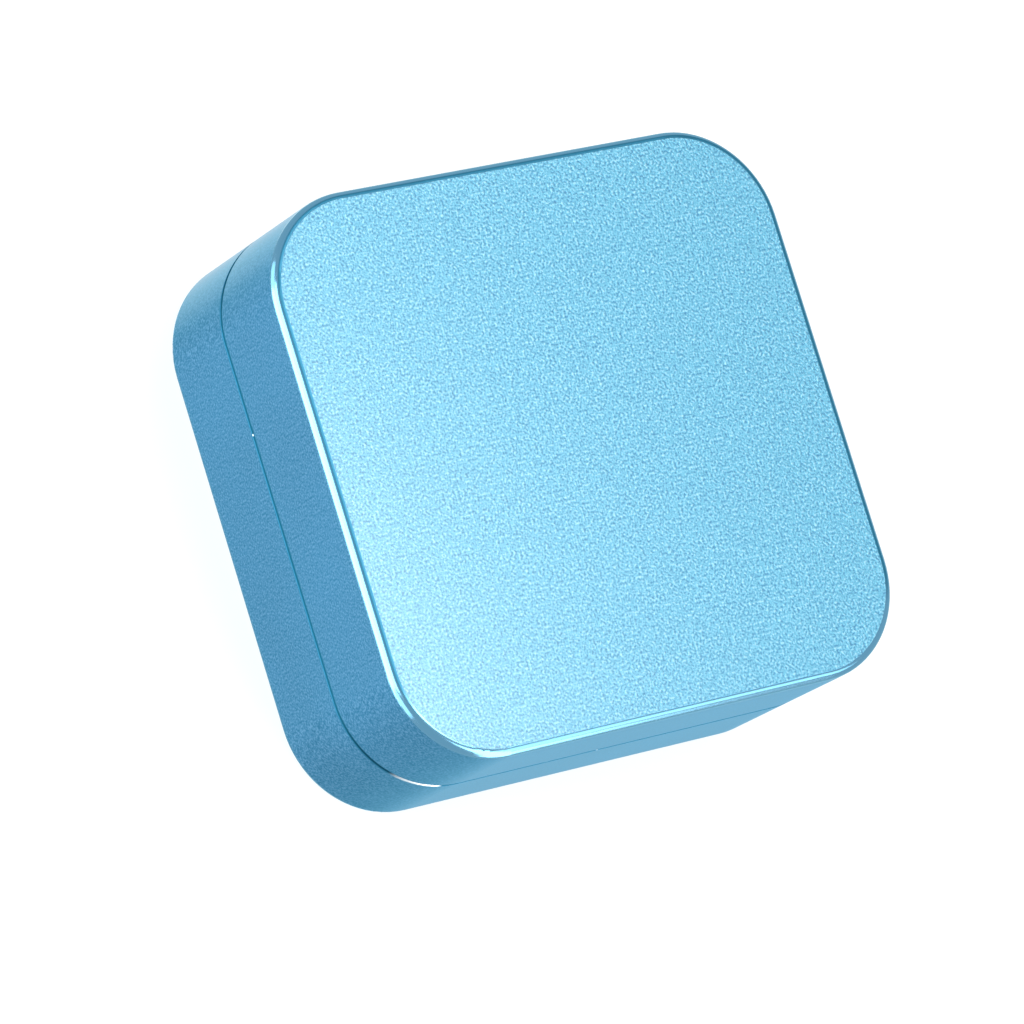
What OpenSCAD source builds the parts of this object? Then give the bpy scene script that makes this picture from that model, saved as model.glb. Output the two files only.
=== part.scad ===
// Two-part magnetic glass cleaner for a small tank.
// A dry half and a wet half hold each other through the glass. Each is a machined aluminium
// shell around a steel yoke and four disc magnets, closed by a sealed cover, with a pad that
// grips the cover by hook and loop. Here they are closed on each other, pad to pad.
// The dry half lies on its outer face at z = 0, and the wet half is the same build turned over.

/* [Body] */
// Width across the grip, along X
body_w = 45; // [44:0.5:60]
// Length, along Y
body_l = 44; // [43:0.5:60]
// Thickness of one half
half_h = 9; // [8.6:0.1:12]
// Radius of the four upright corners
corner_r = 8; // [7:0.5:9]
// Thickness of the outer face
face_t = 1.3; // [1:0.1:1.8]
// Thickness of the rim around the pad recess
rim_t = 1.6; // [1.4:0.1:2]
// Width of the ledge that carries the cover
ledge_w = 1.6; // [1.4:0.1:1.8]

/* [Edges and seam] */
// Fillet around the outer face
edge_r = 0.6; // [0.3:0.1:1.1]
// Chamfer on the outside of the rim
seam_chamfer = 0.15; // [0.05:0.05:0.3]
// Gap between the two closed rims
seam_gap = 0.05; // [0.02:0.01:0.2]

/* [Magnets] */
// Diameter of each disc magnet
magnet_d = 15; // [12:0.5:15]
// Thickness of each disc magnet
magnet_t = 3; // [2.5:0.5:3.5]
// Web of the carrier between two magnets
magnet_web = 1.6; // [1:0.2:2]
// Thickness of the steel yoke
yoke_t = 1.2; // [0.8:0.1:1.5]

/* [Cover and seal] */
// Thickness of the cover
cover_t = 1; // [0.9:0.1:1.3]
// Width of the gasket groove in the ledge
groove_w = 0.9; // [0.6:0.1:1]
// Depth of the gasket groove
groove_d = 0.6; // [0.4:0.1:0.8]

/* [Screws] */
// Thread diameter of the four countersunk cover screws
screw_d = 1.6; // [1.4:0.1:1.7]
// Head diameter
screw_head_d = 3; // [2.8:0.1:3.2]
// Length, head included
screw_l = 4; // [3:0.5:4]

/* [Pads] */
// Thickness of the hook sheet on the cover, hooks included
hook_t = 0.8; // [0.6:0.1:1]
// Thickness of the loop fabric on the back of a pad
loop_t = 0.4; // [0.3:0.1:0.6]
// Clearance between a pad and the rim
pad_clearance = 0.3; // [0.2:0.1:0.6]
// Margin of cover left bare around the hook sheet
hook_margin = 2; // [1.5:0.5:3]

/* [Hidden] */
$fn = 96;
eps = 0.01;
over = 1;                // how far a cutting tool runs past what it cuts

slip = 0.15;             // clearance of the parts that drop into the pocket
cover_slip = 0.1;        // clearance of the cover in the recess
seal_slip = 0.03;        // clearance of the gasket in its groove
magnet_slip = 0.1;       // radial clearance of a magnet in the carrier
thread_slip = 0.02;      // radial clearance of a screw in its boss
hole_slip = 0.1;         // radial clearance of a screw in the cover

// Heights, from the outer face inwards
yoke_z = face_t;
magnet_z = yoke_z + yoke_t;
ledge_z = magnet_z + magnet_t;
hook_z = ledge_z + cover_t;
loop_z = hook_z + hook_t;
pad_z = loop_z + loop_t;
rim_z = half_h - seam_gap / 2;
pad_t = rim_z - pad_z;

// Outlines
recess_w = body_w - 2 * rim_t;
recess_l = body_l - 2 * rim_t;
recess_r = corner_r - rim_t;
pocket_w = recess_w - 2 * ledge_w;
pocket_l = recess_l - 2 * ledge_w;
pocket_r = recess_r - ledge_w;
pad_w = recess_w - 2 * pad_clearance;
pad_l = recess_l - 2 * pad_clearance;
pad_r = recess_r - pad_clearance;
groove_inset = (ledge_w - groove_w) / 2;

// Screw bosses, in the corners of the pocket
boss_r = 2.2;
boss_inset = 3;
boss_x = pocket_w / 2 - boss_inset;
boss_y = pocket_l / 2 - boss_inset;
boss_floor = 1.1;        // solid left under the threaded hole
head_sink = 0.05;        // how far a head lies below the cover's surface
head_h = (screw_head_d - screw_d) / 2;
slot_w = 0.4;
slot_l = 1.7;
slot_d = 0.45;
notch_r = 2.9;           // how far the hook sheet keeps clear of a screw

magnet_pitch = magnet_d + 2 * magnet_slip + magnet_web;
quadrants = [[1, 1], [-1, 1], [-1, -1], [1, -1]];

assert(pad_t > 0.3, "no room is left for the pad: make the half thicker");
assert(boss_floor + screw_l < hook_z, "the screw is too long for the shell");

shell_colour = [0.36, 0.66, 0.86];
steel_colour = [0.62, 0.64, 0.66];
nickel_colour = [0.80, 0.80, 0.78];
carrier_colour = [0.16, 0.17, 0.18];
cover_colour = [0.10, 0.11, 0.12];
gasket_colour = [0.80, 0.36, 0.16];
hook_colour = [0.13, 0.13, 0.14];
loop_colour = [0.20, 0.21, 0.22];
felt_colour = [0.84, 0.85, 0.86];
scrub_colour = [0.24, 0.26, 0.28];

// ---- Outlines ----

// A centred rectangle with true round corners
module rounded_rect(w, l, r) {
    square([w - 2 * r, l], center = true);
    square([w, l - 2 * r], center = true);
    for (q = quadrants)
        translate([q.x * (w / 2 - r), q.y * (l / 2 - r)]) circle(r);
}

// A closed band between two rounded rectangles, inset from the recess
module ledge_band(inset, width) {
    difference() {
        rounded_rect(recess_w - 2 * inset, recess_l - 2 * inset, recess_r - inset);
        rounded_rect(recess_w - 2 * (inset + width), recess_l - 2 * (inset + width),
                     recess_r - inset - width);
    }
}

// A screw's corner, cut away to a round of radius r about the screw
module screw_corner(r) {
    reach = 2 * boss_inset;
    circle(r);
    translate([-r, 0]) square([r + reach, reach]);
    translate([0, -r]) square([reach, r + reach]);
}

// A rounded rectangle that keeps clear of the four screws
module notched_rect(w, l, r, clear_r) {
    difference() {
        rounded_rect(w, l, r);
        for (i = [0:3])
            translate([quadrants[i].x * boss_x, quadrants[i].y * boss_y])
                rotate(90 * i) screw_corner(clear_r);
    }
}

// The pocket that holds the yoke and the carrier, shrunk by a clearance
module pocket_outline(clearance = 0) {
    notched_rect(pocket_w - 2 * clearance, pocket_l - 2 * clearance, pocket_r - clearance,
                 boss_r + clearance);
}

module at_bosses() {
    for (q = quadrants) translate([q.x * boss_x, q.y * boss_y, 0]) children();
}

function magnet_place(i) = [quadrants[i].x, quadrants[i].y] * magnet_pitch / 2;

// Half of the shell's cross-section, x being the distance out to the wall at x = width
module wall_section(width) {
    difference() {
        square([width, rim_z]);
        difference() {
            translate([width - edge_r, -over]) square([edge_r + over, edge_r + over]);
            translate([width - edge_r, edge_r]) circle(edge_r);
        }
        polygon([
            [width - seam_chamfer, rim_z + eps],
            [width + over, rim_z + eps],
            [width + over, rim_z - seam_chamfer],
            [width, rim_z - seam_chamfer]
        ]);
    }
}

// A straight bar with that section on both sides, running along X
module wall_bar(length, across) {
    rotate([90, 0, 90])
        linear_extrude(length, center = true) {
            wall_section(across / 2);
            mirror([1, 0]) wall_section(across / 2);
        }
}

// The solid outer form of one half: two crossed bars and four turned corners
module outer_form() {
    wall_bar(body_w - 2 * corner_r, body_l);
    rotate(90) wall_bar(body_l - 2 * corner_r, body_w);
    for (i = [0:3])
        translate([quadrants[i].x * (body_w / 2 - corner_r),
                   quadrants[i].y * (body_l / 2 - corner_r), 0])
            rotate(90 * i) rotate_extrude(angle = 90) wall_section(corner_r);
}

// ---- Parts of one half, lying on its outer face ----

module shell() {
    color(shell_colour) difference() {
        outer_form();
        translate([0, 0, ledge_z]) linear_extrude(half_h) rounded_rect(recess_w, recess_l, recess_r);
        translate([0, 0, face_t]) linear_extrude(half_h) pocket_outline();
        translate([0, 0, ledge_z - groove_d])
            linear_extrude(groove_d + eps) ledge_band(groove_inset, groove_w);
        at_bosses() translate([0, 0, boss_floor])
            cylinder(h = half_h, r = screw_d / 2 + thread_slip);
    }
}

module yoke() {
    color(steel_colour) translate([0, 0, yoke_z]) linear_extrude(yoke_t) pocket_outline(slip);
}

module magnet(i) {
    color(nickel_colour) translate([magnet_place(i - 1).x, magnet_place(i - 1).y, magnet_z])
        cylinder(h = magnet_t, d = magnet_d);
}

module carrier() {
    color(carrier_colour) translate([0, 0, magnet_z]) difference() {
        linear_extrude(magnet_t) pocket_outline(slip);
        for (i = [0:3]) translate([magnet_place(i).x, magnet_place(i).y, -over])
            cylinder(h = magnet_t + 2 * over, r = magnet_d / 2 + magnet_slip);
    }
}

module gasket() {
    color(gasket_colour) translate([0, 0, ledge_z - groove_d])
        linear_extrude(groove_d)
            ledge_band(groove_inset + seal_slip, groove_w - 2 * seal_slip);
}

module cover() {
    hole_r = screw_d / 2 + hole_slip;
    sink_h = head_h + head_sink;
    color(cover_colour) translate([0, 0, ledge_z]) difference() {
        linear_extrude(cover_t)
            rounded_rect(recess_w - 2 * cover_slip, recess_l - 2 * cover_slip,
                         recess_r - cover_slip);
        at_bosses() {
            translate([0, 0, -over]) cylinder(h = cover_t + 2 * over, r = hole_r);
            translate([0, 0, cover_t - sink_h])
                cylinder(h = sink_h + eps, r1 = hole_r, r2 = hole_r + sink_h + eps);
        }
    }
}

module screws() {
    top = hook_z - head_sink;
    color(steel_colour) at_bosses() difference() {
        union() {
            translate([0, 0, top - head_h])
                cylinder(h = head_h, d1 = screw_d, d2 = screw_head_d);
            translate([0, 0, top - screw_l]) cylinder(h = screw_l - head_h, d = screw_d);
        }
        for (turn = [0, 90])
            rotate(turn) translate([-slot_l / 2, -slot_w / 2, top - slot_d])
                cube([slot_l, slot_w, slot_d + over]);
    }
}

module hook_sheet() {
    color(hook_colour) translate([0, 0, hook_z]) linear_extrude(hook_t)
        notched_rect(pad_w - 2 * hook_margin, pad_l - 2 * hook_margin, 1, notch_r);
}

module loop_backing() {
    color(loop_colour) translate([0, 0, loop_z]) linear_extrude(loop_t)
        rounded_rect(pad_w, pad_l, pad_r);
}

module pad(colour) {
    color(colour) translate([0, 0, pad_z]) linear_extrude(pad_t)
        rounded_rect(pad_w, pad_l, pad_r);
}

// Turns a part of the dry half over into its place in the wet half
module wet() {
    translate([0, 0, 2 * half_h]) rotate([180, 0, 0]) children();
}

// ---- Nodes ----

shell();  // dry_shell
yoke();  // dry_yoke
carrier();  // dry_carrier
for (i = [1:4])
    magnet(i);
gasket();  // dry_gasket
cover();  // dry_cover
screws();  // dry_screws
hook_sheet();  // dry_hook_sheet
loop_backing();  // dry_loop_backing
pad(felt_colour);  // felt_pad

wet() shell();  // wet_shell
wet() yoke();  // wet_yoke
wet() carrier();  // wet_carrier
for (i = [1:4])
    wet() magnet(i);
wet() gasket();  // wet_gasket
wet() cover();  // wet_cover
wet() screws();  // wet_screws
wet() hook_sheet();  // wet_hook_sheet
wet() loop_backing();  // wet_loop_backing
wet() pad(scrub_colour);  // scrub_pad
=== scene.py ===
"""Looks for the magnetic glass cleaner: materials, pads, hooks and loops, floor, lights and camera."""

import math
import random

import bpy
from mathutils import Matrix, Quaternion, Vector, noise


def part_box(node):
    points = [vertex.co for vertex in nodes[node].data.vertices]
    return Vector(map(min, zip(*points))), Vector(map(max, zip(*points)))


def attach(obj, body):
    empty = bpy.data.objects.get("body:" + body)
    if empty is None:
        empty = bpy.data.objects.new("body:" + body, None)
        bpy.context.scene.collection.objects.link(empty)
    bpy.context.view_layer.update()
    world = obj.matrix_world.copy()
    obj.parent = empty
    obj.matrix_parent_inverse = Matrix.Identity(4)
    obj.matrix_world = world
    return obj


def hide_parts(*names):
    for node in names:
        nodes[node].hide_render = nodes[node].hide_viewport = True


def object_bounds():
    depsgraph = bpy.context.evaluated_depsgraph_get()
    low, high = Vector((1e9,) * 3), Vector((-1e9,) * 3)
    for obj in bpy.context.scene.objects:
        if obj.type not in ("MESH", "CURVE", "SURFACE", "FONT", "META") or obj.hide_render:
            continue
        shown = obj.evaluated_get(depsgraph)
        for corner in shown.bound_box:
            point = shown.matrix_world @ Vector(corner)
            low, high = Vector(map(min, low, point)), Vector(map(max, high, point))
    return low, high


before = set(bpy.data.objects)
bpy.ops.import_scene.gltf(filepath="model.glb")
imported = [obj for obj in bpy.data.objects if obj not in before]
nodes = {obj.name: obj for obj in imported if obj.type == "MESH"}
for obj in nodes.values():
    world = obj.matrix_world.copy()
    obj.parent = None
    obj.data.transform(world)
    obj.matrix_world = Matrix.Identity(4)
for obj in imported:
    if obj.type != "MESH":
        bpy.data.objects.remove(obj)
cad_low, cad_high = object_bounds()

MM = 0.001
UP = Vector((0, 0, 1))
DOWN = Vector((0, 0, -1))

# ---- Sizes of the frame that the materials and the pieces follow ----

WIDTH, LENGTH, HEIGHT = cad_high - cad_low
CORNER_R = 8 * MM
FILLET_R = 0.6 * MM
SEAM_CHAMFER = 0.15 * MM
PAD_R = 6.1 * MM
SCREW_HEAD_R = 1.5 * MM
SCREW_X, SCREW_Y = (v - SCREW_HEAD_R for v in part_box("dry_screws")[1][:2])
HOOK_NOTCH_R = 2.9 * MM
HALVES = ("dry", "wet")

# ---- Camera ----

VIEW_AZIMUTH = -74.97
VIEW_ELEVATION = 57.37
VIEW_ROLL = 60.10
VIEW_DISTANCE = 501.7 * MM
VIEW_AIM = Vector((-2.862 * MM, -2.873 * MM, HEIGHT / 2))
LENS_MM = 233.1
CLIP_NEAR, CLIP_FAR = 10 * MM, 20


def direction(azimuth, elevation):
    """The unit vector towards a place at that azimuth and elevation, in degrees.

    Azimuth 0 is in front, at -Y, and 90 is at +X.
    """
    a, e = math.radians(azimuth), math.radians(elevation)
    return Vector((math.sin(a) * math.cos(e), -math.cos(a) * math.cos(e), math.sin(e)))


def make_camera():
    back = direction(VIEW_AZIMUTH, VIEW_ELEVATION)
    camera = bpy.data.objects.new("camera", bpy.data.cameras.new("camera"))
    camera.data.lens = LENS_MM
    camera.location = VIEW_AIM + back * VIEW_DISTANCE
    camera.rotation_mode = "QUATERNION"
    roll = Quaternion((0, 0, 1), math.radians(VIEW_ROLL))
    camera.rotation_quaternion = (-back).to_track_quat("-Z", "Y") @ roll
    camera.data.clip_start, camera.data.clip_end = CLIP_NEAR, CLIP_FAR
    bpy.context.scene.collection.objects.link(camera)
    bpy.context.scene.camera = camera


# ---- Shader graphs ----

NOISE_SPAN = (0.3, 0.7)


class Graph:
    """A material's node tree, written as short calls. A value is a number, a colour or a socket."""

    def __init__(self, name):
        self.material = bpy.data.materials.new(name)
        self.material.use_nodes = True
        self.tree = self.material.node_tree
        self.tree.nodes.clear()

    def feed(self, socket, value):
        if isinstance(value, bpy.types.NodeSocket):
            self.tree.links.new(value, socket)
        elif isinstance(value, (tuple, list)) and socket.type == "RGBA":
            socket.default_value = (*value, 1.0) if len(value) == 3 else value
        else:
            socket.default_value = value

    def node(self, kind, inputs=(), **settings):
        made = self.tree.nodes.new(kind)
        for key, value in settings.items():
            setattr(made, key, value)
        for key, value in dict(inputs).items():
            self.feed(made.inputs[key], value)
        return made

    def math(self, operation, a, b=0.0):
        return self.node("ShaderNodeMath", {0: a, 1: b}, operation=operation).outputs[0]

    def plus(self, a, b):
        return self.math("ADD", a, b)

    def times(self, first, *others):
        product = first
        for value in others:
            product = self.math("MULTIPLY", product, value)
        return product

    def vector(self, operation, a, b=(0, 0, 0)):
        """A vector, or a number where the operation is LENGTH."""
        made = self.node("ShaderNodeVectorMath", {0: a, 1: b}, operation=operation)
        return made.outputs["Value" if operation == "LENGTH" else "Vector"]

    def stretch(self, place, x, y, z):
        """The place with its axes multiplied, which makes a pattern finer along the larger ones."""
        return self.vector("MULTIPLY", place, (x, y, z))

    def axes(self, vector):
        return self.node("ShaderNodeSeparateXYZ", {0: vector}).outputs

    def step(self, value, low, high):
        """0 below low and 1 above high, smooth between; the other way round where low is above high."""
        inputs = {"Value": value, "From Min": low, "From Max": high}
        return self.node("ShaderNodeMapRange", inputs, interpolation_type="SMOOTHSTEP").outputs["Result"]

    def scale(self, value, low, high, to_low, to_high):
        inputs = {"Value": value, "From Min": low, "From Max": high, "To Min": to_low, "To Max": to_high}
        return self.node("ShaderNodeMapRange", inputs).outputs["Result"]

    def vary(self, value, to_low, to_high):
        """From to_low to to_high as a noise goes over the span that it mostly keeps to."""
        return self.scale(value, *NOISE_SPAN, to_low, to_high)

    def mix(self, factor, a, b):
        made = self.node("ShaderNodeMix", data_type="RGBA")
        colours = [s for s in made.inputs if s.type == "RGBA"]
        self.feed(made.inputs[0], factor)
        self.feed(colours[0], a)
        self.feed(colours[1], b)
        return next(s for s in made.outputs if s.type == "RGBA")

    def blend(self, factor, a, b):
        """A number between a and b."""
        return self.plus(a, self.times(factor, self.math("SUBTRACT", b, a)))

    def place(self):
        return self.node("ShaderNodeTexCoord").outputs["Object"]

    def noise(self, place, size, detail=2.0, roughness=0.5):
        """Noise from 0 to 1 about 0.5, whose blobs are about size across."""
        inputs = {"Vector": place, "Scale": 0.6 / size, "Detail": detail, "Roughness": roughness}
        return self.node("ShaderNodeTexNoise", inputs).outputs["Fac"]

    def cells(self, place, size):
        """A random colour for each cell of about that size."""
        return self.node("ShaderNodeTexVoronoi", {"Vector": place, "Scale": 1 / size}).outputs["Color"]

    def bump(self, height, depth):
        """A normal from a height of 0 to 1 that stands for depth in metres."""
        inputs = {"Height": height, "Distance": depth, "Strength": 1.0}
        return self.node("ShaderNodeBump", inputs).outputs["Normal"]

    def finish(self, **inputs):
        shader = self.node("ShaderNodeBsdfPrincipled")
        for key, value in inputs.items():
            self.feed(shader.inputs[key.replace("_", " ")], value)
        out = self.node("ShaderNodeOutputMaterial")
        self.tree.links.new(shader.outputs[0], out.inputs[0])
        return self.material


def outline_distance(g, place):
    """Metres from the block's upright outline, negative inside it."""
    core = (WIDTH / 2 - CORNER_R, LENGTH / 2 - CORNER_R, 0)
    flat = g.stretch(g.vector("ABSOLUTE", place), 1, 1, 0)
    past = g.vector("SUBTRACT", flat, core)
    outside = g.vector("LENGTH", g.vector("MAXIMUM", past, (0, 0, 0)))
    past_x, past_y = g.axes(past)[0:2]
    inside = g.math("MINIMUM", g.math("MAXIMUM", past_x, past_y), 0.0)
    return g.math("SUBTRACT", g.plus(outside, inside), CORNER_R)


def face_depth(g, place):
    """Metres in from the nearer outer face."""
    z = g.axes(place)[2]
    return g.math("MINIMUM", z, g.math("SUBTRACT", HEIGHT, z))


# ---- Materials ----

DYE_FACE = (0.100, 0.382, 0.525)
DYE_PALE = (0.29, 0.56, 0.70)
DYE_DEEP = (0.028, 0.20, 0.36)
DYE_WALL = (0.052, 0.262, 0.470)
DYE_BAND = (0.12, 0.40, 0.60)
# Painted shade on the lip beside each face, in place of a dark reflection.
LIP_PAINTED_SHADE = (0.035, 0.19, 0.30)
DYE_GLINT = (0.50, 0.95, 1.0)
# Painted shade of the gap between the halves on the seam chamfers, less dark at their outer edge.
SEAM_PAINTED_SHADE = (0.008, 0.07, 0.115)
SEAM_EDGE_SHADE = (0.035, 0.18, 0.30)
# Bare aluminium, also used as a painted highlight at the dry rim's front left corner.
BARE_METAL_AND_HIGHLIGHT = (0.82, 0.86, 0.90)
CARRIER_BLACKS = (0.020, 0.021, 0.023), (0.045, 0.047, 0.050)
COVER_BLACKS = (0.012, 0.013, 0.015), (0.040, 0.042, 0.046)
BLAST_GRAIN = 0.115 * MM
SATIN_GRAIN = 0.10 * MM
GRAIN_DEPTH = 0.05 * MM
SOFT_LINE = 0.03 * MM


def painted_corner_highlight(g, place):
    """1 on the dry half's rim at its front left corner, where bare metal is a painted highlight of the
    rim's edge.
    """
    x, y, z = g.axes(place)
    left = g.step(x, 0.86 * CORNER_R - WIDTH / 2, 0.78 * CORNER_R - WIDTH / 2)
    front = g.step(y, 0.26 * CORNER_R - LENGTH / 2, 0.14 * CORNER_R - LENGTH / 2)
    dry = g.step(z, HEIGHT / 2, HEIGHT / 2 - 0.02 * MM)
    return g.times(left, front, dry)


def shell_zones(g, place):
    """Zones that are 1 on a part of the shell and 0 elsewhere: face, band, lip, seam and rim.

    The face is the flat of an outer face and the band is the fillet round it. The lip is the band's
    inner edge, except along the front, and carries painted shade. The seam is the two chamfers between
    the halves, painted with shade of the gap, and the rim is their outer edge, where that shade is less
    dark.
    """
    from_edge = outline_distance(g, place)
    depth = face_depth(g, place)
    outer = g.step(depth, FILLET_R, FILLET_R - SOFT_LINE)
    inset = g.step(from_edge, -FILLET_R, -FILLET_R - SOFT_LINE)
    face = g.times(outer, inset)
    band = g.times(outer, g.math("SUBTRACT", 1.0, inset))
    inner = g.step(from_edge, -0.56 * FILLET_R, -0.66 * FILLET_R)
    y = g.axes(place)[1]
    past_front = g.step(y, 0.5 * CORNER_R - LENGTH / 2, 0.9 * CORNER_R - LENGTH / 2)
    # The lip carries painted shade, which is left off along the front.
    lip = g.times(band, inner, past_front)
    at_seam = g.step(depth, HEIGHT / 2 - 2.0 * SEAM_CHAMFER, HEIGHT / 2 - 1.2 * SEAM_CHAMFER)
    seam = g.times(at_seam, g.step(from_edge, -0.5 * MM, -0.3 * MM))
    rim = g.step(from_edge, -0.045 * MM, -0.02 * MM)
    return face, band, lip, seam, rim


def anodised():
    """Aluminium dyed light blue: sandblasted on the outer faces, satin on the walls, polished between.

    The lip beside each face is duller, and darker with painted shade except along the front. The seam
    has painted shade of the gap between the halves, less dark at its outer edge, with the dye off where
    it is nicked; at the dry rim's front left corner, bare metal is a painted highlight.
    """
    g = Graph("anodised_aluminium")
    place = g.place()
    face, band, lip, seam, rim = shell_zones(g, place)
    grain = g.noise(place, BLAST_GRAIN)
    satin = g.noise(place, SATIN_GRAIN, detail=1.0)
    cloud = g.noise(place, 9 * MM)
    patch_noise = g.noise(place, 0.9 * MM, detail=3.0, roughness=0.6)
    # Painted highlight: patches of bare metal at the dry rim's front left corner.
    corner_highlight = g.times(painted_corner_highlight(g, place), g.step(patch_noise, 0.30, 0.38))
    # Bare metal in nicks along the seam, and in the painted corner highlight.
    bare_spots = g.math("MAXIMUM", g.step(patch_noise, 0.68, 0.74), corner_highlight)

    face_colour = g.mix(g.step(grain, 0.30, 0.52), DYE_DEEP, DYE_FACE)
    face_colour = g.mix(g.step(grain, 0.50, 0.74), face_colour, DYE_PALE)
    wall_tone = g.scale(g.plus(satin, g.times(cloud, 0.3)), 0.3, 1.0, 0.70, 1.30)
    wall_colour = g.node("ShaderNodeVectorMath", {0: DYE_WALL, "Scale": wall_tone}, operation="SCALE")
    wall_colour = g.mix(g.scale(satin, 0.40, 0.70, 0.0, 0.13), wall_colour.outputs[0], BARE_METAL_AND_HIGHLIGHT)
    # The seam: painted shade of the gap, less dark at its outer edge, with bare metal where the dye is off
    # and in the painted corner highlight.
    seam_colour = g.mix(bare_spots, g.mix(rim, SEAM_PAINTED_SHADE, SEAM_EDGE_SHADE), BARE_METAL_AND_HIGHLIGHT)
    colour = g.mix(face, wall_colour, face_colour)
    colour = g.mix(band, colour, DYE_BAND)
    # Painted shade on the lip.
    colour = g.mix(lip, colour, LIP_PAINTED_SHADE)
    colour = g.mix(seam, colour, seam_colour)

    rough = g.blend(face, g.vary(satin, 0.30, 0.40), g.vary(grain, 0.55, 0.42))
    rough = g.blend(band, rough, 0.14)
    rough = g.blend(lip, rough, 0.42)
    rough = g.blend(seam, rough, g.blend(bare_spots, 0.5, 0.3))

    height = g.blend(face, g.times(satin, 0.10), grain)
    height = g.blend(band, height, 0.0)

    coat = g.blend(face, 0.20, 1.0)
    coat = g.blend(band, coat, 0.8)
    coat = g.blend(lip, coat, 0.05)
    coat = g.blend(seam, coat, 0.0)
    return g.finish(Base_Color=colour, Metallic=1.0, Roughness=rough, Normal=g.bump(height, GRAIN_DEPTH),
                    Specular_Tint=DYE_GLINT, Coat_Weight=coat, Coat_Roughness=0.20, Coat_IOR=1.9)


def nickel():
    """Nickel plate on the magnets: bright, with hairline scratches and a faint warm tone."""
    bright, tarnished = (0.80, 0.78, 0.73), (0.70, 0.67, 0.60)
    g = Graph("nickel_plate")
    place = g.place()
    hair = g.noise(g.stretch(place, 1, 9, 1), 0.4 * MM, detail=3.0)
    tarnish = g.noise(place, 5 * MM, detail=3.0)
    colour = g.mix(g.step(tarnish, 0.35, 0.75), bright, tarnished)
    rough = g.scale(g.plus(hair, tarnish), 0.6, 1.4, 0.12, 0.27)
    return g.finish(Base_Color=colour, Metallic=1.0, Roughness=rough, Normal=g.bump(hair, 0.004 * MM))


def zinc_steel():
    """The zinc-plated yoke: rolled steel with a fine grain along it and a pale spangle."""
    grey, pale = (0.50, 0.53, 0.56), (0.74, 0.76, 0.78)
    g = Graph("zinc_plated_steel")
    place = g.place()
    rolled = g.noise(g.stretch(place, 1, 14, 1), 1.2 * MM, detail=3.0)
    spangle = g.node("ShaderNodeRGBToBW", {0: g.cells(place, 2.2 * MM)}).outputs[0]
    tone = g.plus(g.times(rolled, 0.6), g.times(spangle, 0.4))
    rough = g.scale(tone, 0.2, 0.8, 0.42, 0.28)
    return g.finish(Base_Color=g.mix(tone, grey, pale), Metallic=1.0, Roughness=rough,
                    Normal=g.bump(rolled, 0.01 * MM))


def turned_stainless():
    """Stainless screws, with the fine rings that turning leaves around each one's axis."""
    dull, bright = (0.58, 0.57, 0.55), (0.76, 0.75, 0.73)
    ring_pitch = 0.06 * MM
    g = Graph("stainless_steel")
    place = g.place()
    off_axis = g.vector("SUBTRACT", g.vector("ABSOLUTE", place), (SCREW_X, SCREW_Y, 0))
    radius = g.vector("LENGTH", g.stretch(off_axis, 1, 1, 0))
    rings = g.math("SINE", g.times(radius, math.tau / ring_pitch))
    rings = g.scale(rings, -1.0, 1.0, 0.0, 1.0)
    smear = g.noise(place, 0.5 * MM)
    colour = g.mix(smear, dull, bright)
    rough = g.vary(smear, 0.20, 0.34)
    return g.finish(Base_Color=colour, Metallic=1.0, Roughness=rough, Normal=g.bump(rings, 0.004 * MM))


def moulded(name, dark, light, grain_size, rough_low, rough_high):
    """Moulded black plastic with a spark-eroded grain, paler where it has been rubbed."""
    g = Graph(name)
    place = g.place()
    grain = g.noise(place, grain_size, roughness=0.6)
    rub = g.noise(place, 6 * MM, detail=4.0, roughness=0.6)
    worn = g.plus(grain, rub)
    rough = g.scale(worn, 0.6, 1.4, rough_high, rough_low)
    return g.finish(Base_Color=g.mix(g.step(worn, 0.75, 1.4), dark, light), Roughness=rough,
                    Specular_IOR_Level=0.45, Normal=g.bump(grain, 0.03 * MM))


def silicone():
    """The gasket: soft orange-red rubber with a dull skin and specks of dust."""
    red, orange, dust_grey = (0.60, 0.12, 0.035), (0.72, 0.19, 0.06), (0.75, 0.72, 0.68)
    g = Graph("silicone_rubber")
    place = g.place()
    skin = g.noise(place, 0.25 * MM)
    dust = g.step(g.noise(place, 0.12 * MM, detail=1.0), 0.66, 0.72)
    colour = g.mix(g.times(dust, 0.35), g.mix(skin, red, orange), dust_grey)
    return g.finish(Base_Color=colour, Roughness=g.vary(skin, 0.42, 0.58), Normal=g.bump(skin, 0.012 * MM))


def weave(g, place, pitch):
    """Heights of 0 to 1 of a plain weave, whose threads run along X and Y, a pitch apart."""
    over_x, over_y = (g.math("SINE", g.times(axis, math.pi / pitch)) for axis in g.axes(place)[0:2])
    return g.scale(g.times(over_x, over_y), -1.0, 1.0, 0.0, 1.0)


def woven_tape():
    """Black nylon tape under the hooks: a tight plain weave with paler rubbed threads."""
    black, rubbed = (0.006, 0.0065, 0.008), (0.034, 0.036, 0.040)
    g = Graph("woven_nylon_tape")
    place = g.place()
    threads = weave(g, place, 0.28 * MM)
    fluff = g.noise(place, 0.09 * MM)
    worn = g.noise(place, 5 * MM)
    tone = g.times(g.plus(threads, fluff), g.vary(worn, 0.3, 0.6))
    return g.finish(Base_Color=g.mix(tone, black, rubbed), Roughness=g.vary(fluff, 0.55, 0.75),
                    Normal=g.bump(threads, 0.05 * MM), Sheen_Weight=0.08, Sheen_Roughness=0.4)


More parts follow.
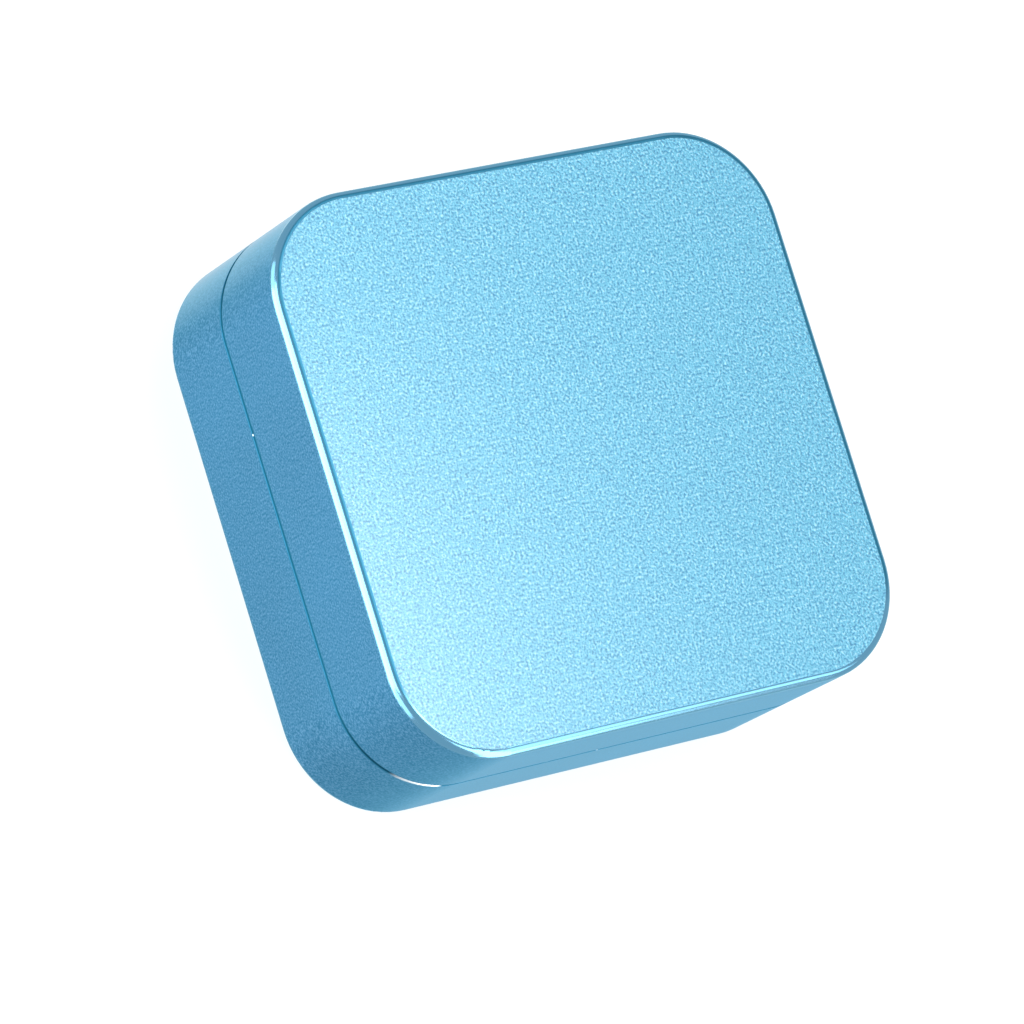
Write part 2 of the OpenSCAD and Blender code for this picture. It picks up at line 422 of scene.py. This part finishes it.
def nylon_thread(name, dark, light, roughness, sheen=0.0):
    """Nylon thread or bristle, of a tone that varies from one to the next."""
    g = Graph(name)
    place = g.place()
    each = g.noise(place, 0.5 * MM, detail=3.0, roughness=0.7)
    fine = g.noise(place, 0.05 * MM, detail=1.0)
    return g.finish(Base_Color=g.mix(g.step(each, 0.3, 0.7), dark, light),
                    Roughness=g.vary(fine, roughness - 0.08, roughness + 0.08),
                    Normal=g.bump(fine, 0.006 * MM), Sheen_Weight=sheen, Sheen_Roughness=0.5)


def knit_ground():
    """The knitted ground of the loop fabric: rows of stitches, a hair apart."""
    dark, light = (0.014, 0.015, 0.017), (0.055, 0.058, 0.064)
    g = Graph("knitted_ground")
    place = g.place()
    stitches = weave(g, g.stretch(place, 1.0, 0.55, 1.0), 0.20 * MM)
    fluff = g.noise(place, 0.08 * MM)
    tone = g.times(g.plus(stitches, fluff), 0.5)
    return g.finish(Base_Color=g.mix(tone, dark, light), Roughness=g.vary(fluff, 0.75, 0.92),
                    Normal=g.bump(stitches, 0.05 * MM), Sheen_Weight=0.12, Sheen_Roughness=0.5)


def pressed_felt():
    """Pale grey wool felt: matted fibres, clouds of a darker grey and a few dark hairs."""
    hollow, wool = (0.26, 0.265, 0.27), (0.48, 0.485, 0.49)
    cloud_grey, hair_grey = (0.34, 0.345, 0.36), (0.16, 0.17, 0.19)
    g = Graph("pressed_felt")
    place = g.place()
    bent = g.stretch(g.noise(place, 1.4 * MM), 3 * MM, 3 * MM, 0)
    wound = g.vector("ADD", place, bent)
    mat_x = g.noise(g.stretch(wound, 1, 7, 2), 0.6 * MM, detail=3.0, roughness=0.6)
    mat_y = g.noise(g.stretch(wound, 7, 1, 2), 0.6 * MM, detail=3.0, roughness=0.6)
    mat = g.math("MAXIMUM", mat_x, mat_y)
    dark_hair = g.step(g.noise(g.stretch(wound, 1, 16, 3), 1.3 * MM, detail=1.0), 0.70, 0.76)
    cloud = g.step(g.noise(place, 4 * MM, detail=3.0), 0.4, 0.8)
    colour = g.mix(g.step(mat, 0.42, 0.72), hollow, wool)
    colour = g.mix(g.times(cloud, 0.35), colour, cloud_grey)
    colour = g.mix(g.times(dark_hair, 0.45), colour, hair_grey)
    return g.finish(Base_Color=colour, Roughness=g.scale(mat, 0.4, 0.7, 0.95, 0.82),
                    Normal=g.bump(mat, 0.10 * MM), Sheen_Weight=0.2, Sheen_Roughness=0.6)


def dress(material, *parts):
    """Gives the material to those CAD nodes of both halves."""
    for half in HALVES:
        for part in parts:
            slots = nodes[f"{half}_{part}"].data.materials
            slots.clear()
            slots.append(material)


def dress_cad_nodes():
    dress(anodised(), "shell")
    dress(zinc_steel(), "yoke")
    dress(nickel(), *(f"magnet_{i}" for i in range(1, 5)))
    dress(moulded("carrier_abs", *CARRIER_BLACKS, 0.14 * MM, 0.42, 0.62), "carrier")
    dress(moulded("cover_abs", *COVER_BLACKS, 0.10 * MM, 0.34, 0.56), "cover")
    dress(silicone(), "gasket")
    dress(turned_stainless(), "screws")


# ---- Pieces that stand for the plain soft solids ----


class Mesh:
    """The points and faces of one piece, gathered bit by bit."""

    def __init__(self):
        self.points, self.faces = [], []

    def skin(self, first, rings, sides):
        """Closed faces over rings of points with that many sides, the first point being number first."""
        for i in range(rings - 1):
            a = first + i * sides
            for k in range(sides):
                k2 = (k + 1) % sides
                self.faces.append((a + k, a + k2, a + sides + k2, a + sides + k))
        top = first + (rings - 1) * sides
        self.faces.append(tuple(first + k for k in reversed(range(sides))))
        self.faces.append(tuple(top + k for k in range(sides)))

    def tube(self, path, radius, across, sides=3):
        """A closed tube along the path, whose points are Vectors. across is nowhere along the path."""
        first, last = len(self.points), len(path) - 1
        for i, point in enumerate(path):
            along = (path[min(i + 1, last)] - path[max(i - 1, 0)]).normalized()
            u = (across - along * across.dot(along)).normalized()
            v = along.cross(u)
            for k in range(sides):
                turn = math.tau * k / sides
                self.points.append(point + (u * math.cos(turn) + v * math.sin(turn)) * radius)
        self.skin(first, len(path), sides)

    def loft(self, rings):
        """A closed form through rings of the same number of points, from the lowest to the highest."""
        first = len(self.points)
        for ring in rings:
            self.points.extend(ring)
        self.skin(first, len(rings), len(rings[0]))

    def piece(self, name, half, material, body, smooth=True):
        """The finished object. What belongs to the wet half is turned over into its place."""
        points = self.points
        if half == "wet":
            points = [Vector((p.x, -p.y, HEIGHT - p.z)) for p in points]
        mesh = bpy.data.meshes.new(name)
        mesh.from_pydata(points, [], self.faces)
        mesh.polygons.foreach_set("use_smooth", [smooth] * len(mesh.polygons))
        mesh.materials.append(material)
        made = bpy.data.objects.new(name, mesh)
        bpy.context.scene.collection.objects.link(made)
        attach(made, body)
        return made


def arc(centre, radius, start, end, steps):
    """Points of an arc in the plane, from one angle to another in degrees, both ends included."""
    turns = (math.radians(start + (end - start) * i / steps) for i in range(steps + 1))
    return [(centre[0] + radius * math.cos(t), centre[1] + radius * math.sin(t)) for t in turns]


def between(a, b, steps):
    """Points on the straight line after a and before b."""
    return [(a[0] + (b[0] - a[0]) * i / steps, a[1] + (b[1] - a[1]) * i / steps) for i in range(1, steps)]


def joined(runs, steps):
    """One closed outline of those runs of points, the straight gaps between them divided into steps."""
    outline = []
    for run, following in zip(runs, runs[1:] + runs[:1]):
        outline += run + between(run[-1], following[0], steps)
    return outline


def rounded_rect(width, length, radius, steps=24):
    """The outline of a rounded rectangle, anticlockwise."""
    x, y = width / 2 - radius, length / 2 - radius
    corners = ((x, y, 0), (-x, y, 90), (-x, -y, 180), (x, -y, 270))
    return joined([arc((cx, cy), radius, turn, turn + 90, 8) for cx, cy, turn in corners], steps)


def notched_rect(width, length, inset):
    """The hook sheet's outline, cut away around the four screws and drawn in by an inset."""
    x, y, r = width / 2 - inset, length / 2 - inset, HOOK_NOTCH_R + inset
    runs = []
    for turn, (sx, sy) in enumerate(((1, 1), (-1, 1), (-1, -1), (1, -1))):
        notch = arc((SCREW_X, SCREW_Y), r, 270, 180, 10)
        run = [(x, SCREW_Y - r)] + notch + [(SCREW_X - r, y)]
        run = [(sx * px, sy * py) for px, py in run]
        runs.append(run if turn % 2 == 0 else run[::-1])
    return joined(runs, 24)


def flat_area(outline):
    pairs = zip(outline, outline[1:] + outline[:1])
    return abs(sum(a[0] * b[1] - a[1] * b[0] for a, b in pairs)) / 2


def hills(x, y, size, seed):
    """Smooth noise from -1 to 1 with hills of about that size."""
    return noise.noise(Vector((x / size, y / size, seed)))


def slab_rings(width, length, radius, low, high, edge_r, wave, seed):
    """Rings of a thin slab with round edges, whose two sides rise and fall inwards by up to wave."""
    deepest = min(width, length) / 2 - 0.6 * MM
    ring_gap = 0.55 * MM
    least_r = 0.3 * MM
    broad, fine = 2.6 * MM, 0.8 * MM
    count = int((deepest - edge_r) / ring_gap)
    insets = [deepest - i * (deepest - edge_r) / count for i in range(count)]
    turns = [math.radians(90 - 18 * i) for i in range(6)]
    lower = [(edge_r * (1 - math.cos(t)), low + edge_r * (1 - math.sin(t))) for t in turns]
    upper = [(inset, low + high - z) for inset, z in reversed(lower)]
    under = [(inset, low) for inset in insets]
    top = [(inset, high) for inset in reversed(insets)]
    rings = []
    for inset, z in under + lower + upper + top:
        side = 1 if z > (low + high) / 2 else -1
        outline = rounded_rect(width - 2 * inset, length - 2 * inset, max(radius - inset, least_r), 30)
        ring = []
        for x, y in outline:
            rough = 0.7 * hills(x, y, broad, seed + side) + 0.5 * hills(x, y, fine, seed - side)
            ring.append(Vector((x, y, z - side * wave * (0.5 + 0.5 * rough))))
        rings.append(ring)
    return rings


def inside_rect(x, y, width, length, radius):
    """Whether a place is inside a centred rounded rectangle."""
    dx, dy = abs(x) - (width / 2 - radius), abs(y) - (length / 2 - radius)
    return math.hypot(max(dx, 0), max(dy, 0)) + min(max(dx, dy), 0) < radius


def random_place(draw, width, length):
    return draw.uniform(-width / 2, width / 2), draw.uniform(-length / 2, length / 2)


def pad_frame(node, half):
    """A pad's width, length, lowest and highest level, in its own half before that is turned over."""
    low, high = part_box(node)
    levels = (low.z, high.z) if half == "dry" else (HEIGHT - high.z, HEIGHT - low.z)
    return high.x - low.x, high.y - low.y, *levels


# ---- Felt pad ----

FELT_NAP = 0.05 * MM
WOOL_R = 0.013 * MM
WOOL_FACES = 60000
FACE_HAIR_MARGIN = 0.3 * MM
EDGE_HAIR_INSET = 0.08 * MM
EDGE_HAIRS_AT_EACH_POINT = 3


def face_hair(draw, x, y, level):
    """The path of a loose end of wool that starts at x, y and arches over the felt's face."""
    heading, bend = draw.uniform(0, math.tau), draw.uniform(-2.4, 2.4)
    reach, lift = draw.uniform(0.5, 1.5) * MM, draw.uniform(0.4, 1.0) * FELT_NAP
    steps = 5
    path = []
    for i in range(steps + 1):
        t = i / steps
        x += math.cos(heading + bend * t) * reach / steps
        y += math.sin(heading + bend * t) * reach / steps
        path.append(Vector((x, y, level + lift * math.sin(math.pi * t) * 1.2)))
    return path


def edge_hair(draw, x, y, z, out):
    """The path of a loose end of wool that curls out of the felt's edge."""
    heading, bend = draw.uniform(0, math.tau), draw.uniform(-1.5, 1.5)
    reach = draw.uniform(0.2, 0.5) * MM
    level = Vector((-out.y, out.x, 0))
    start = Vector((x, y, z)) - out * EDGE_HAIR_INSET
    steps = 4
    path = []
    for i in range(steps + 1):
        t = i / steps
        turn = heading + bend * t
        swing = (level * math.cos(turn) + UP * math.sin(turn)) * reach * t
        path.append(start + swing * 0.8 + out * 0.09 * MM * math.sin(math.pi * t))
    return path


def make_felt():
    """The felt pad: a matted slab that bristles with loose ends of wool on its face and edge."""
    width, length, low, high = pad_frame("felt_pad", "dry")
    wool = pressed_felt()
    slab = Mesh()
    slab.loft(slab_rings(width, length, PAD_R, low, high - FELT_NAP, 0.32 * MM, 0.05 * MM, 11))
    pad = slab.piece("felt_pad_slab", "dry", wool, "dry_pad")
    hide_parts("felt_pad")

    draw = random.Random(5)
    hairs = Mesh()
    face_level = high - FELT_NAP - 0.03 * MM
    while len(hairs.faces) < WOOL_FACES:
        x, y = random_place(draw, width, length)
        if not inside_rect(x, y, width - 2 * FACE_HAIR_MARGIN, length - 2 * FACE_HAIR_MARGIN, PAD_R):
            continue
        path = face_hair(draw, x, y, face_level)
        if inside_rect(path[-1].x, path[-1].y, width, length, PAD_R):
            hairs.tube(path, WOOL_R, UP)
    edge = rounded_rect(width - 2 * EDGE_HAIR_INSET, length - 2 * EDGE_HAIR_INSET, PAD_R, 120)
    for x, y in edge:
        out = Vector((x, y, 0)).normalized()
        for _ in range(EDGE_HAIRS_AT_EACH_POINT):
            z = draw.uniform(low + 0.2 * MM, high - 0.2 * MM)
            hairs.tube(edge_hair(draw, x, y, z, out), WOOL_R, out)
    nap_piece = hairs.piece("felt_pad_nap", "dry", wool, "dry_pad")
    nap_piece.parent = pad


# ---- Scrubbing pad ----

BRISTLE_R = 0.045 * MM
BRISTLE_FACES = 80000
BRISTLE_RISE = 0.10 * MM
BRISTLE_SWAY = 0.05 * MM
CORE_DEPTH = 0.42 * MM
CORE_INSET = 0.12 * MM
RIM_INSET = 0.1 * MM
RIM_BRISTLE_POINTS = 10
LAST_PHASE = 6.3  # radians, about a full turn


def rim_bristle(draw, rim, start, low, high):
    """The path of a bristle that winds along the points of the pad's rim from the one numbered start."""
    z, phase = draw.uniform(low + 0.15 * MM, high - 0.15 * MM), draw.uniform(0, LAST_PHASE)
    path = []
    for i in range(RIM_BRISTLE_POINTS):
        x, y = rim[(start + i) % len(rim)]
        sway = Vector((x, y, 0)).normalized() * BRISTLE_SWAY * math.sin(phase + 1.3 * i)
        level = z + BRISTLE_RISE * math.sin(phase + 0.9 * i)
        path.append(Vector((x, y, min(max(level, low + BRISTLE_R), high - BRISTLE_R))) + sway)
    return path


def crimped_bristle(draw, x, y, lowest, high):
    """The path of a crimped bristle that starts at x, y and wanders over the core."""
    heading, crimp = draw.uniform(0, math.tau), draw.uniform(0.5, 1.3)
    reach, phase = draw.uniform(2.0, 4.5) * MM, draw.uniform(0, LAST_PHASE)
    middle = draw.uniform(lowest, high - 0.12 * MM)
    steps = 12
    path = []
    for i in range(steps + 1):
        t = i / steps
        turn = heading + crimp * math.sin(phase + 9 * t)
        x += math.cos(turn) * reach / steps
        y += math.sin(turn) * reach / steps
        rise = BRISTLE_RISE * math.sin(phase * 2 + 13 * t) + BRISTLE_SWAY * math.sin(phase + 5 * t)
        path.append(Vector((x, y, min(middle + rise, high - BRISTLE_R))))
    return path


def make_scrubber():
    """The scrubbing pad: crimped nylon bristles over a darker core, and bristles along its rim."""
    width, length, low, high = pad_frame("scrub_pad", "wet")
    core_width, core_length = width - 2 * CORE_INSET, length - 2 * CORE_INSET
    core_top = high - CORE_DEPTH
    core = Mesh()
    core.loft(slab_rings(core_width, core_length, PAD_R, low, core_top, 0.20 * MM, 0.12 * MM, 23))
    dark = nylon_thread("scrub_core_nylon", (0.016, 0.020, 0.026), (0.050, 0.060, 0.075), 0.7, sheen=0.2)
    pad = core.piece("scrub_pad_core", "wet", dark, "wet_pad")
    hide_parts("scrub_pad")

    draw = random.Random(17)
    web = Mesh()
    rim = rounded_rect(width - 2 * RIM_INSET, length - 2 * RIM_INSET, PAD_R - RIM_INSET, 90)
    for start in range(len(rim)):
        path = rim_bristle(draw, rim, start, low, high)
        web.tube(path, BRISTLE_R, Vector((path[-1].x, path[-1].y, 0)))
    while len(web.faces) < BRISTLE_FACES:
        x, y = random_place(draw, width, length)
        path = crimped_bristle(draw, x, y, core_top - 0.05 * MM, high)
        if all(inside_rect(p.x, p.y, width - 2 * BRISTLE_R, length - 2 * BRISTLE_R, PAD_R) for p in path):
            web.tube(path, BRISTLE_R, UP)
    bristle = nylon_thread("scrub_bristle_nylon", (0.05, 0.062, 0.080), (0.17, 0.20, 0.24), 0.38)
    web_piece = web.piece("scrub_pad_web", "wet", bristle, "wet_pad")
    web_piece.parent = pad


# ---- Hooks and loops ----

LOOP_GROUND = 0.16 * MM
LOOP_PITCH = 0.66 * MM
LOOP_THREAD_R = 0.028 * MM
LOOP_MARGIN = 0.5 * MM
HOOK_GROUND = 0.24 * MM
HOOK_PITCH = 0.98 * MM
HOOK_THREAD_R = 0.055 * MM
HOOK_BEND_R = 0.14 * MM
HOOK_MARGIN = 0.7 * MM


def loop_path(draw, foot, longest):
    """The path of a loop that hangs from its foot, up to that long, and the way across it."""
    turn = draw.uniform(-0.9, 0.9)
    level = Vector((math.cos(turn), math.sin(turn), 0))
    lean = Vector((-level.y, level.x, 0)) * draw.uniform(-0.14, 0.14) * MM
    tall = longest * draw.uniform(0.75, 1.0)
    wide = draw.uniform(0.11, 0.17) * MM
    path = []
    for i in range(9):
        t = math.pi * i / 8
        side = level * wide * math.cos(t) * (1 + 0.5 * math.sin(t))
        drop = DOWN * tall * math.sin(t) ** 0.7
        path.append(foot + side + drop + lean * math.sin(t))
    return path, level.cross(UP)


def make_loops(half):
    """The loop fabric on the back of a pad: a knitted ground and a pile of small loops."""
    node, pad_body = f"{half}_loop_backing", f"{half}_pad"
    width, length, low, high = pad_frame(node, half)
    ground_low = high - LOOP_GROUND
    ground = Mesh()
    ground.loft(slab_rings(width, length, PAD_R, ground_low, high, 0.07 * MM, 0.02 * MM, 31))
    sheet = ground.piece(f"{half}_loop_ground", half, knit_ground(), pad_body)
    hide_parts(node)

    draw = random.Random(29 if half == "dry" else 31)
    loops = Mesh()
    rows = int(length / LOOP_PITCH)
    for row in range(-rows // 2, rows // 2 + 1):
        for column in range(-rows // 2, rows // 2 + 2):
            x = (column + 0.5 * (row % 2)) * LOOP_PITCH + draw.uniform(-0.12, 0.12) * MM
            y = row * LOOP_PITCH + draw.uniform(-0.12, 0.12) * MM
            if inside_rect(x, y, width - 2 * LOOP_MARGIN, length - 2 * LOOP_MARGIN, PAD_R):
                foot = Vector((x, y, ground_low + 0.02 * MM))
                path, across = loop_path(draw, foot, ground_low - low - LOOP_THREAD_R)
                loops.tube(path, LOOP_THREAD_R, across)
    fleece = nylon_thread("loop_pile_nylon", (0.045, 0.048, 0.054), (0.12, 0.125, 0.135), 0.6, sheen=0.3)
    pile = loops.piece(f"{half}_loop_pile", half, fleece, pad_body)
    pile.parent = sheet
    area = flat_area(rounded_rect(width, length, PAD_R))


def by_screw(x, y):
    """Whether a place on the hook tape is too near one of the notches round the screws."""
    near = math.hypot(abs(x) - SCREW_X, abs(y) - SCREW_Y) < HOOK_NOTCH_R + HOOK_MARGIN
    past = abs(x) > SCREW_X - HOOK_MARGIN and abs(y) > SCREW_Y - HOOK_NOTCH_R - HOOK_MARGIN
    beside = abs(y) > SCREW_Y - HOOK_MARGIN and abs(x) > SCREW_X - HOOK_NOTCH_R - HOOK_MARGIN
    return near or past or beside


def hook_path(draw, x, y, facing, ground_high, high):
    """The path of a hook that bends over towards its facing, 1 or -1 along X, and the way across it."""
    turn = draw.uniform(-0.25, 0.25) + (math.pi if facing < 0 else 0)
    level = Vector((math.cos(turn), math.sin(turn), 0))
    tall = (high - HOOK_THREAD_R - HOOK_BEND_R - ground_high) * draw.uniform(0.92, 1.0)
    foot = Vector((x, y, ground_high - 0.02 * MM)) - level * HOOK_BEND_R * 0.6
    bend = arc((HOOK_BEND_R, 0), HOOK_BEND_R, 180, draw.uniform(-50, -20), 7)
    path = [foot, foot + UP * tall * 0.6] + [foot + level * px + UP * (tall + pz) for px, pz in bend]
    return path, level.cross(UP)


def make_hooks(half):
    """The hook tape on the cover: a woven ground and rows of bent nylon hooks, which face by turns."""
    node, body = f"{half}_hook_sheet", f"{half}_half"
    width, length, low, high = pad_frame(node, half)
    ground_high = low + HOOK_GROUND
    rounding = 0.05 * MM
    levels = ((0.04 * MM, low), (0.0, low + rounding),
              (0.0, ground_high - rounding), (rounding, ground_high))
    ground = Mesh()
    ground.loft([[Vector((x, y, z)) for x, y in notched_rect(width, length, inset)] for inset, z in levels])
    sheet = ground.piece(f"{half}_hook_ground", half, woven_tape(), body, smooth=False)
    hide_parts(node)

    draw = random.Random(41 if half == "dry" else 43)
    hooks = Mesh()
    rows = int((length / 2 - HOOK_MARGIN) / HOOK_PITCH)
    columns = int((width / 2 - HOOK_MARGIN) / HOOK_PITCH)
    for row in range(-rows, rows + 1):
        for column in range(-columns, columns + 1):
            x, y = column * HOOK_PITCH, row * HOOK_PITCH
            if not by_screw(x, y):
                facing = 1 if (row + column) % 2 else -1
                path, across = hook_path(draw, x, y, facing, ground_high, high)
                hooks.tube(path, HOOK_THREAD_R, across, 5)
    bristle = nylon_thread("hook_nylon", (0.010, 0.011, 0.013), (0.040, 0.042, 0.047), 0.3)
    rows_piece = hooks.piece(f"{half}_hooks", half, bristle, body)
    rows_piece.parent = sheet
    area = flat_area(notched_rect(width, length, 0))


# ---- Stage ----

FLOOR_SIZE = 12
FLOOR_LEVEL = -0.02 * MM
FLOOR_TONE = (0.30, 0.302, 0.305)
FLOOR_GLOW = 0.72
SKY_TONE = (0.84, 0.94, 1.0, 1)
SKY_STRENGTH = 0.74
WHITE = (1, 1, 1)
BLUISH = (0.48, 0.76, 1.0)
REDDISH = (1.0, 0.58, 0.48)


def floor_material():
    g = Graph("floor")
    return g.finish(Base_Color=FLOOR_TONE, Roughness=0.9, Emission_Color=WHITE,
                    Emission_Strength=FLOOR_GLOW)


def make_floor():
    """The floor. It is left out of reflections and shadows, so that the lamps below it reach the block."""
    bpy.ops.mesh.primitive_plane_add(size=FLOOR_SIZE, location=(0, 0, FLOOR_LEVEL))
    floor = bpy.context.object
    floor.name = "floor"
    floor.visible_glossy = floor.visible_shadow = False
    floor.data.materials.append(floor_material())


def softbox(name, azimuth, elevation, distance, width, height, radiance, colour=WHITE):
    """An area light of that radiance, which faces the middle of the block from that side."""
    towards = direction(azimuth, elevation)
    light = bpy.data.lights.new(name, "AREA")
    light.shape, light.size, light.size_y = "RECTANGLE", width, height
    light.energy = radiance * math.pi * width * height
    light.color = colour
    lamp = bpy.data.objects.new(name, light)
    lamp.location = Vector((0, 0, HEIGHT / 2)) + towards * distance
    lamp.rotation_euler = towards.to_track_quat("Z", "Y").to_euler()
    lamp.visible_camera = False
    bpy.context.scene.collection.objects.link(lamp)


def make_lights():
    """A pale sky and the lamps, whose reflections give the glow on the face and the bright fillets.

    Each lamp has its azimuth and elevation in degrees, its distance, width and height in metres, its
    radiance and, where it isn't white, its colour.
    """
    softbox("left_low", -100, -8, 0.5, 0.36, 0.53, 4.0)
    softbox("left_fade", -68, -8, 0.5, 0.20, 0.53, 1.8)
    softbox("left_fade_back", -130, -8, 0.5, 0.18, 0.53, 1.5)
    softbox("left_high", -103, 36, 0.5, 0.36, 0.26, 3.6)
    softbox("front", 18, 21, 0.5, 0.23, 0.84, 3.4)
    softbox("front_high", 46, 46, 0.5, 0.18, 0.24, 1.8)
    softbox("top_front", 97, 75, 0.6, 0.15, 0.30, 5.2)
    softbox("top_back", 142, 66, 0.6, 0.16, 0.20, 5.5)
    softbox("under", 75, -57, 0.5, 0.30, 0.30, 0.26, BLUISH)
    softbox("under_back", 142, -57, 0.5, 0.50, 0.30, 1.0, REDDISH)
    world = bpy.data.worlds.new("studio")
    bpy.context.scene.world = world
    world.use_nodes = True
    background = world.node_tree.nodes["Background"]
    background.inputs["Color"].default_value = SKY_TONE
    background.inputs["Strength"].default_value = SKY_STRENGTH


make_camera()
make_floor()
make_lights()
dress_cad_nodes()
make_felt()
make_scrubber()
for half in HALVES:
    make_loops(half)
    make_hooks(half)

bpy.context.scene.view_settings.view_transform = "Standard"
